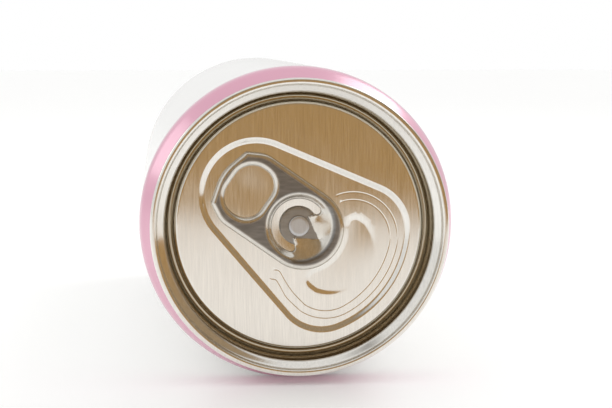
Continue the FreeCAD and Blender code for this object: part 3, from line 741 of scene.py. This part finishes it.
class CAN_OT_lid(bpy.types.Operator):
    """Make the lid: seam, chuck wall, countersink and panel with its recess, hollow and score lines"""
    bl_idname = "can.lid"
    bl_label = "Lid"

    def execute(self, context):
        scene = context.scene
        sizes = in_millimetres(scene.can_lid)
        segments = scene.can_body.segments
        # Rolled lid sheet: the smoothest metal of the can, so what it mirrors keeps its outlines.
        metal = rolled_aluminium("rolled_lid_aluminium", scene.can_colours.lid_metal, 0.12, 0.22, 0.004,
                                 spread=0.03)
        # The countersink gets painted shade, a darker tint of the lid metal.
        paint_groove_shade(metal, scene.can_colours.painted_groove_shade)
        crest_inner = sizes.seam_radius - sizes.seam_width
        plug = sizes.seam_radius - sizes.plug_inset
        corners = [
            (sizes.panel_flat, sizes.panel_depth, 0),
            (sizes.countersink_inner, sizes.panel_depth, sizes.panel_round),
            (sizes.countersink_inner, sizes.countersink_depth, sizes.countersink_round),
            (sizes.countersink_outer, sizes.countersink_depth, sizes.countersink_round),
            (sizes.chuck_bend, sizes.chuck_bend_depth, sizes.chuck_bend_round),
            (crest_inner, sizes.crest_depth, 0.45),
            (crest_inner, 0, 0.5),
            (sizes.seam_radius, 0, 0.55),
            (sizes.seam_radius, sizes.seam_height, 0.35),
            (plug, sizes.seam_height, 0),
            (plug, sizes.plug_depth, 0),
            (0, sizes.plug_depth, 0),
        ]
        profile = rounded_path(corners, 0.35, closed=False)
        ring = turned_mesh(profile, segments, metal)

        tear = tear_path(sizes, 0.35)
        outer_hook = [(1.8, -10.75), (2.6, -10.4), (3.9, -10.9), (6.2, -11.9)]
        inner_hook = [(1.4, -8.95), (2.2, -8.75), (4.3, -9.65), (6.4, -10.4)]
        outer_score = score_path(sizes, 0, sizes.outer_score_start, outer_hook, 0.3)
        inner_score = score_path(sizes, sizes.score_spacing, sizes.inner_score_start, inner_hook, 0.3)
        hollow = self.hollow_path(0.4)
        turns = np.arange(segments) * 2 * math.pi / segments + sizes.mouth_turn
        edge = sizes.panel_flat * np.column_stack((np.cos(turns), np.sin(turns)))
        half = sizes.recess_slope / 2
        rings = [(edge, True)]
        slope_rows = (-1.35, -1, -0.7, -0.3, 0.3, 0.7, 1, 1.35)
        rings += [(offset_path(tear, half * share), True) for share in slope_rows]
        for line in (outer_score, inner_score):
            rings += [(offset_path(line, sizes.score_width * share, False), False)
                      for share in (-0.9, -0.5, 0.0, 0.5, 0.9)]
        rings += [(offset_path(hollow, offset), True) for offset in (-0.6, -0.4, -0.2, 0.0, 0.2, 0.4)]
        dish_rows = (1.7, 2.3, 2.9, 3.5, 4.1, 4.7, 5.3)
        rings += [(arc_path((0, 0), radius, 0, 360, 0.5)[:-1], True) for radius in dish_rows]
        crowd = np.vstack([path for path, _ in rings])
        loose = fill_points(edge, 0.6, crowd, 0.25)
        verts, faces = triangulate(rings, loose)
        depths = np.full(len(verts), sizes.panel_depth)
        depths += sizes.recess_depth * ramp(0.5 - signed_distance(verts, tear) / sizes.recess_slope, 0.5)
        for line in (outer_score, inner_score):
            share = distance_to(verts, line, False) / (sizes.score_width / 2)
            depths += sizes.score_depth * (1 - ease(share))
        fade = 1 - ease((verts[:, 0] - sizes.hollow_fade_start) / sizes.hollow_fade)
        into_hollow = ease(0.5 - signed_distance(verts, hollow) / sizes.hollow_slope)
        depths += sizes.hollow_depth * fade * into_hollow
        depths += sizes.dish_depth * ease(1.1 - np.linalg.norm(verts, axis=1) / sizes.dish_radius)
        well = np.linalg.norm(verts + (sizes.well_reach, 0), axis=1)
        depths += sizes.well_depth * ease(1 - well / sizes.well_radius)
        panel = mesh_of(to_frame(verts, depths, sizes.mouth_turn), faces)
        whole = joined("lid", [ring, panel])
        whole.materials.clear()
        whole.materials.append(metal)
        piece = new_piece("lid_shell", whole)
        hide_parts("can_end")
        return {"FINISHED"}

    def hollow_path(self, step):
        """A crescent between a round about the tab's nose and a wider one in front of it."""
        near = 8.15
        far = 8.05
        middle = 7.45
        nose_centre = 0.8
        inner = arc_path((nose_centre, 0), near, 40, -40, step)
        outer = arc_path((middle, 0), far, -74, 74, step)
        lower_horn = smooth_path([tuple(inner[-1]), (6.9, -6.6), (7.9, -7.6), tuple(outer[0])], step)
        upper_horn = smooth_path([tuple(outer[-1]), (7.9, 7.6), (6.9, 6.6), tuple(inner[0])], step)
        return np.vstack((outer[:-1], upper_horn[:-1], inner[:-1], lower_horn[:-1]))


class CAN_OT_rivet(bpy.types.Operator):
    """Make the rivet that holds the tab"""
    bl_idname = "can.rivet"
    bl_label = "Rivet"

    def execute(self, context):
        scene = context.scene
        tab = in_millimetres(scene.can_tab)
        # Pressed rivet: drawn up from the sheet and flattened, which leaves it duller and greyer.
        metal = rolled_aluminium("pressed_rivet_aluminium", scene.can_colours.rivet_metal, 0.4, 0.15, 0.002)
        under = tab.top_depth + tab.island_drop
        head_height = 0.6
        shank_radius = 1.5
        shank_length = 0.7
        top = under - head_height
        corners = [
            (0, top, 0),
            (tab.rivet_radius * 0.75, top, 1.0),
            (tab.rivet_radius, top + 0.1, 0.2),
            (tab.rivet_radius, under, 0.05),
            (shank_radius, under, 0),
            (shank_radius, under + shank_length, 0),
            (0, under + shank_length, 0),
        ]
        mesh = turned_mesh(rounded_path(corners, 0.1, closed=False), 96, metal)
        piece = new_piece("rivet", mesh)
        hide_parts("can_end")
        return {"FINISHED"}


class CAN_OT_tab(bpy.types.Operator):
    """Make the pull tab with its hem, finger hole, bowl, curved slot and beaked island"""
    bl_idname = "can.tab"
    bl_label = "Pull tab"

    def execute(self, context):
        scene = context.scene
        sizes = in_millimetres(scene.can_tab)
        # Folded tab sheet: the metal's own bright colour along its rolled edges and in the bowl, and a
        # painted dark reflection, grey and streaky, where it is flat.
        metal = rolled_aluminium("rolled_tab_aluminium", scene.can_colours.tab_metal, 0.16, 0.3, 0.003)
        paint_tab_dark_reflection(metal, scene.can_colours.painted_dark_reflection_grey, 0.35)
        outline = rounded_path([
            (sizes.nose, -sizes.half_width, sizes.half_width - 0.05),
            (sizes.nose, sizes.half_width, sizes.half_width - 0.05),
            (-sizes.side, sizes.half_width, 5.0),
            (-sizes.heel, sizes.heel_half_width, 0.7),
            (-sizes.heel - sizes.heel_bow, 0, 9.0),
            (-sizes.heel, -sizes.heel_half_width, 0.7),
            (-sizes.side, -sizes.half_width, 5.0),
        ], 0.3)
        hole = rounded_path([
            (-sizes.hole_near, -sizes.hole_half_width, 3.4),
            (-sizes.hole_near, sizes.hole_half_width, 3.4),
            (-sizes.hole_far, sizes.hole_half_width, 3.7),
            (-sizes.hole_far, -sizes.hole_half_width, 3.7),
        ], 0.3)
        slot = self.slot_path(sizes, 0.2)
        island = self.island_path(sizes, 0.25)
        rings = [(outline, True), (hole, True), (slot, True)]
        edge_rows = (0.03, 0.09, 0.18, 0.3, 0.45, 0.65, 0.85, 1.05)
        rings += [(offset_path(outline, -distance), True) for distance in edge_rows]
        rings += [(offset_path(hole, distance), True) for distance in edge_rows]
        rings += [(offset_path(slot, distance), True) for distance in (0.02, 0.06, 0.12, 0.2)]
        rings += [(offset_path(island, distance), True) for distance in (-0.12, 0.0, 0.12)]
        bowl_rows = (5.2, 5.4, 5.6, 5.8, 6.0, 6.2, 6.4, 6.6, 6.8)
        for radius in bowl_rows:
            rings.append((arc_path((0, 0), radius, 0, 360, 0.25)[:-1], True))
        crowd = np.vstack([path for path, _ in rings])
        loose = fill_points(outline, 0.6, crowd, 0.2)
        verts, faces = triangulate(rings, loose, holes=(hole, slot))
        used = np.unique(faces)
        renumber = np.zeros(len(verts), int)
        renumber[used] = np.arange(len(used))
        verts, faces = verts[used], renumber[faces]
        to_outline = distance_to(verts, outline)
        to_hole = distance_to(verts, hole)
        to_slot = distance_to(verts, slot)
        surface, thickness = self.surface(sizes, verts, island, to_outline, to_hole)
        drop = sizes.edge_drop
        top = surface + roll(to_outline, sizes.hem, drop) + roll(to_hole, sizes.curl, drop)
        top += roll(to_slot, 0.2, 0.12)
        bottom = surface + thickness - roll(to_outline, 0.5, sizes.thickness - drop)
        bottom -= roll(to_hole, 0.5, sizes.thickness - drop) + roll(to_slot, 0.2, 0.18)
        lean = math.tan(sizes.tilt) * -verts[:, 0]
        low = to_frame(verts, bottom + lean, sizes.turn)
        high = to_frame(verts, top + lean, sizes.turn)
        both = np.vstack((high, low))
        edge = np.minimum(np.minimum(to_outline, to_hole), to_slot) < 1e-4
        flipped = faces[:, ::-1] + np.where(edge, 0, len(verts))[faces[:, ::-1]]
        mesh = mesh_of(both, np.vstack((faces, flipped)))
        radius = np.linalg.norm(verts, axis=1)
        # Share clear of the painted dark reflection: 1 near the outline, the finger hole and the bowl, 0 on
        # the flat sheet, 0.2 on the island.
        clear_of_painted_dark = np.maximum(1 - ease((np.minimum(to_outline, to_hole) - 0.6) / 0.4),
                            1 - ease((radius - sizes.bowl_radius + 0.1) / 0.3))
        clear_of_painted_dark = np.where(inside(verts, island), 0.2, clear_of_painted_dark)
        attribute = mesh.attributes.new("clear_of_painted_dark", "FLOAT", "POINT")
        attribute.data.foreach_set("value", np.concatenate((clear_of_painted_dark, clear_of_painted_dark)).astype(np.float32))
        mesh.materials.append(metal)
        piece = new_piece("pull_tab_shell", mesh)
        work = bmesh.new()
        work.from_mesh(piece.data)
        bmesh.ops.delete(work, geom=[vert for vert in work.verts if not vert.link_faces], context="VERTS")
        work.to_mesh(piece.data)
        work.free()
        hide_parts("pull_tab")
        return {"FINISHED"}

    def slot_path(self, sizes, step):
        """The curved slot, counter-clockwise, with round ends."""
        inner = sizes.island_radius
        outer = inner + sizes.slot_width
        middle = (inner + outer) / 2
        end = math.degrees(sizes.slot_opening)
        first = middle * np.array((math.cos(sizes.slot_opening), math.sin(sizes.slot_opening)))
        last = first * (1, -1)
        half = sizes.slot_width / 2
        return np.vstack((arc_path((0, 0), outer, end, 360 - end, step)[:-1],
                          arc_path(last, half, -end, 180 - end, step)[:-1],
                          arc_path((0, 0), inner, 360 - end, end, step)[:-1],
                          arc_path(first, half, end + 180, end + 360, step)[:-1]))

    def island_path(self, sizes, step):
        """The rivet island: round beside the slot, with a beak that points to the nose."""
        end = 66
        rounded = arc_path((0, 0), sizes.island_radius - 0.02, end, 360 - end, step)
        folds = [tuple(rounded[-1]), (0.3, -2.4), (sizes.beak, 0), (0.3, 2.4), tuple(rounded[0])]
        path = [tuple(point) for point in rounded[:-1]]
        for start, stop in zip(folds, folds[1:]):
            run = np.subtract(stop, start)
            pieces = math.ceil(np.linalg.norm(run) / step)
            path += [tuple(np.add(start, run * part / pieces)) for part in range(pieces)]
        return np.array(path)

    def surface(self, sizes, points, island, to_outline, to_hole):
        """Depth of the tab's face before its edges are rounded, and the thickness below it."""
        radius = np.linalg.norm(points, axis=1)
        turn = np.abs(np.degrees(np.arctan2(points[:, 1], points[:, 0])))
        beside_slot = ease((turn - 58) / 14)
        wall = sizes.bowl_drop * ramp((sizes.bowl_radius - radius) / (sizes.bowl_radius - 5.05), 0.5)
        lip_width = sizes.lip_radius - sizes.crease_radius
        lip = sizes.crease_drop * ramp((sizes.lip_radius - radius) / lip_width, 0.5)
        to_crease = np.maximum(sizes.crease_radius - radius, 0)
        to_fold = np.where(inside(points, island), 0, distance_to(points, island))
        share = to_crease / np.maximum(to_crease + to_fold, 1e-6)
        web = lip + (sizes.island_drop - sizes.crease_drop) * share
        drop = web + (wall - web) * beside_slot
        drop = np.where(inside(points, island), sizes.island_drop, drop)
        thickness = np.full(len(points), sizes.sheet)
        hem = np.maximum(1 - ease((to_outline - 1.3) / 0.5), 1 - ease((to_hole - 1.1) / 0.5))
        thickness += (sizes.thickness - sizes.sheet) * hem * (drop < 0.05)
        return sizes.top_depth + drop, thickness


class CAN_OT_stage(bpy.types.Operator):
    """Make the floor, the lights, the sky and the camera"""
    bl_idname = "can.stage"
    bl_label = "Stage"

    def execute(self, context):
        scene = context.scene
        self.floor(scene)
        self.sky(scene)
        self.lights(scene)
        self.room_card(scene)
        self.camera(scene)
        scene.view_settings.view_transform = "Standard"
        return {"FINISHED"}

    def floor(self, scene):
        """A wide pale floor that the can lies on."""
        # Matt white laminate: pale and even, with a soft shine at a low angle.
        material, _, shader = new_material("matt_white_laminate")
        shader.inputs["Base Color"].default_value = tuple(scene.can_colours.floor)
        shader.inputs["Roughness"].default_value = 0.35
        shader.inputs["Emission Color"].default_value = (1, 1, 1, 1)
        shader.inputs["Emission Strength"].default_value = 0.1
        reach = 3.0
        mesh = mesh_of([(-reach, -reach, 0), (reach, -reach, 0), (reach, reach, 0), (-reach, reach, 0)],
                       [(0, 1, 2, 3)])
        mesh.materials.append(material)
        floor = bpy.data.objects.new("floor", mesh)
        scene.collection.objects.link(floor)

    def sky(self, scene):
        """White for everything but reflections, which see a dim room in front and a pale one behind."""
        world = bpy.data.worlds.new("studio")
        scene.world = world
        world.use_nodes = True
        tree = world.node_tree
        tree.nodes.clear()
        way = add_node(tree, "ShaderNodeTexCoord").outputs["Generated"]
        parts = add_node(tree, "ShaderNodeSeparateXYZ", {0: way})
        behind = add_node(tree, "ShaderNodeMapRange", {"Value": parts.outputs[1], "From Min": -0.1,
                                                       "From Max": 0.45})
        ceiling = add_node(tree, "ShaderNodeMapRange", {"Value": parts.outputs[2], "From Min": 0.7,
                                                        "From Max": 0.85})
        window = add_node(tree, "ShaderNodeMapRange", {"Value": parts.outputs[0], "From Min": -0.32,
                                                       "From Max": -0.55})
        over = add_node(tree, "ShaderNodeMath", {0: behind.outputs[0], 1: ceiling.outputs[0]},
                        operation="MAXIMUM")
        bright = add_node(tree, "ShaderNodeMath", {0: over.outputs[0], 1: window.outputs[0]},
                          operation="MAXIMUM")
        room = add_node(tree, "ShaderNodeMix", {"Factor": bright.outputs[0]}, data_type="RGBA")
        room.inputs[6].default_value = tuple(scene.can_colours.dim_room)
        room.inputs[7].default_value = tuple(scene.can_colours.pale_room)
        path = add_node(tree, "ShaderNodeLightPath")
        dim = add_node(tree, "ShaderNodeBackground", {"Color": room.outputs[2], "Strength": 1.0})
        plain = add_node(tree, "ShaderNodeBackground", {"Color": (1, 1, 1, 1), "Strength": 1.0})
        mix = add_node(tree, "ShaderNodeMixShader", {0: path.outputs["Is Glossy Ray"], 1: plain.outputs[0],
                                                     2: dim.outputs[0]})
        add_node(tree, "ShaderNodeOutputWorld", {"Surface": mix.outputs[0]})

    def area_light(self, scene, name, place, target, size, energy):
        """A rectangular light at a place, turned toward the target."""
        light = bpy.data.lights.new(name, "AREA")
        light.shape = "RECTANGLE"
        light.size, light.size_y = size
        light.energy = energy
        lamp = bpy.data.objects.new(name, light)
        scene.collection.objects.link(lamp)
        lamp.location = place
        lamp.rotation_euler = (Vector(target) - Vector(place)).to_track_quat("-Z", "Y").to_euler()
        lamp.visible_camera = False

    def lights(self, scene):
        """Two soft windows high behind the lid, to the left and the right."""
        middle = (0, RIM_Y, AXIS_Z)
        self.area_light(scene, "left_window", (-0.75, 0.35, 0.42), middle, (0.25, 0.4), 0.5)
        self.area_light(scene, "right_window", (0.5, 0.35, 0.62), middle, (0.35, 0.4), 1.2)

    def room_card(self, scene):
        """A glowing brown card in front of the lid, seen in reflections alone, that the lid mirrors."""
        material = bpy.data.materials.new("room_reflection")
        material.use_nodes = True
        tree = material.node_tree
        tree.nodes.clear()
        place = add_node(tree, "ShaderNodeTexCoord").outputs["Object"]
        parts = add_node(tree, "ShaderNodeSeparateXYZ", {0: place})
        drift = add_node(tree, "ShaderNodeTexNoise", {"Vector": place, "Scale": 18.0, "Detail": 1.0})
        wander = add_node(tree, "ShaderNodeMapRange", {"Value": drift.outputs[0], "From Min": 0.35,
                                                       "From Max": 0.65, "To Min": -0.012, "To Max": 0.012})
        height = add_node(tree, "ShaderNodeMath", {0: parts.outputs[2], 1: wander.outputs[0]},
                          operation="ADD")
        above = add_node(tree, "ShaderNodeMapRange", {"Value": height.outputs[0], "From Min": 0.05,
                                                      "From Max": 0.2})
        room = add_node(tree, "ShaderNodeMix", {"Factor": above.outputs[0]}, data_type="RGBA")
        room.inputs[6].default_value = tuple(scene.can_colours.card_low)
        room.inputs[7].default_value = tuple(scene.can_colours.card_high)
        glow = add_node(tree, "ShaderNodeEmission", {"Color": room.outputs[2]})
        add_node(tree, "ShaderNodeOutputMaterial", {"Surface": glow.outputs[0]})
        left, right, top = -0.22, 0.8, 0.4
        mesh = mesh_of([(left, 0, 0), (right, 0, 0), (right, 0, top), (left, 0, top)], [(0, 1, 2, 3)])
        turn = Matrix.Rotation(math.radians(20), 4, "Z")
        mesh.transform(Matrix.Translation((0.022, RIM_Y - 0.272, 0)) @ turn)
        mesh.materials.append(material)
        card = bpy.data.objects.new("room_card", mesh)
        scene.collection.objects.link(card)
        card.visible_camera = card.visible_diffuse = card.visible_shadow = card.visible_transmission = False

    def camera(self, scene):
        """The camera, a little above the lid and to the left of it; places are in millimetres."""
        data = bpy.data.cameras.new("camera")
        before_rim, above_axis, to_left = 284.8, 33.62, 24.65
        down, left = math.radians(5.83), math.radians(-5.13)
        data.lens = 94.4
        data.sensor_width = 36.0
        data.clip_start = 0.01
        camera = bpy.data.objects.new("camera", data)
        scene.collection.objects.link(camera)
        camera.location = (-to_left * MM, RIM_Y - before_rim * MM, AXIS_Z + above_axis * MM)
        camera.rotation_euler = (math.radians(90) - down, 0, left)
        scene.camera = camera


class CAN_PT_panel(bpy.types.Panel):
    """The can's pieces, sizes and colours"""
    bl_idname = "CAN_PT_panel"
    bl_label = "Drinks Can"
    bl_space_type = "VIEW_3D"
    bl_region_type = "UI"
    bl_category = "Drinks Can"

    def draw(self, context):
        for operator in OPERATORS:
            self.layout.operator(operator.bl_idname)
        for name in GROUPS:
            box = self.layout.box()
            group = getattr(context.scene, name)
            for item in group.bl_rna.properties:
                if item.identifier not in ("rna_type", "name"):
                    box.prop(group, item.identifier)


GROUPS = {"can_body": CanBodyShape, "can_lid": CanLidShape, "can_tab": CanTabShape, "can_colours": CanColours}
OPERATORS = (CAN_OT_body, CAN_OT_lid, CAN_OT_rivet, CAN_OT_tab, CAN_OT_stage)


def register():
    """Register the classes and hang each group of properties on the scene."""
    for item in (*GROUPS.values(), *OPERATORS, CAN_PT_panel):
        bpy.utils.register_class(item)
    for name, group in GROUPS.items():
        setattr(bpy.types.Scene, name, PointerProperty(type=group))


def unregister():
    """Take the properties off the scene again, and unregister the classes."""
    for name in GROUPS:
        delattr(bpy.types.Scene, name)
    for item in reversed((*GROUPS.values(), *OPERATORS, CAN_PT_panel)):
        bpy.utils.unregister_class(item)


def main():
    """Make the stage and the pieces in turn."""
    register()
    bpy.ops.can.stage()
    bpy.ops.can.body()
    bpy.ops.can.lid()
    bpy.ops.can.rivet()
    bpy.ops.can.tab()


if __name__ == "__main__":
    main()
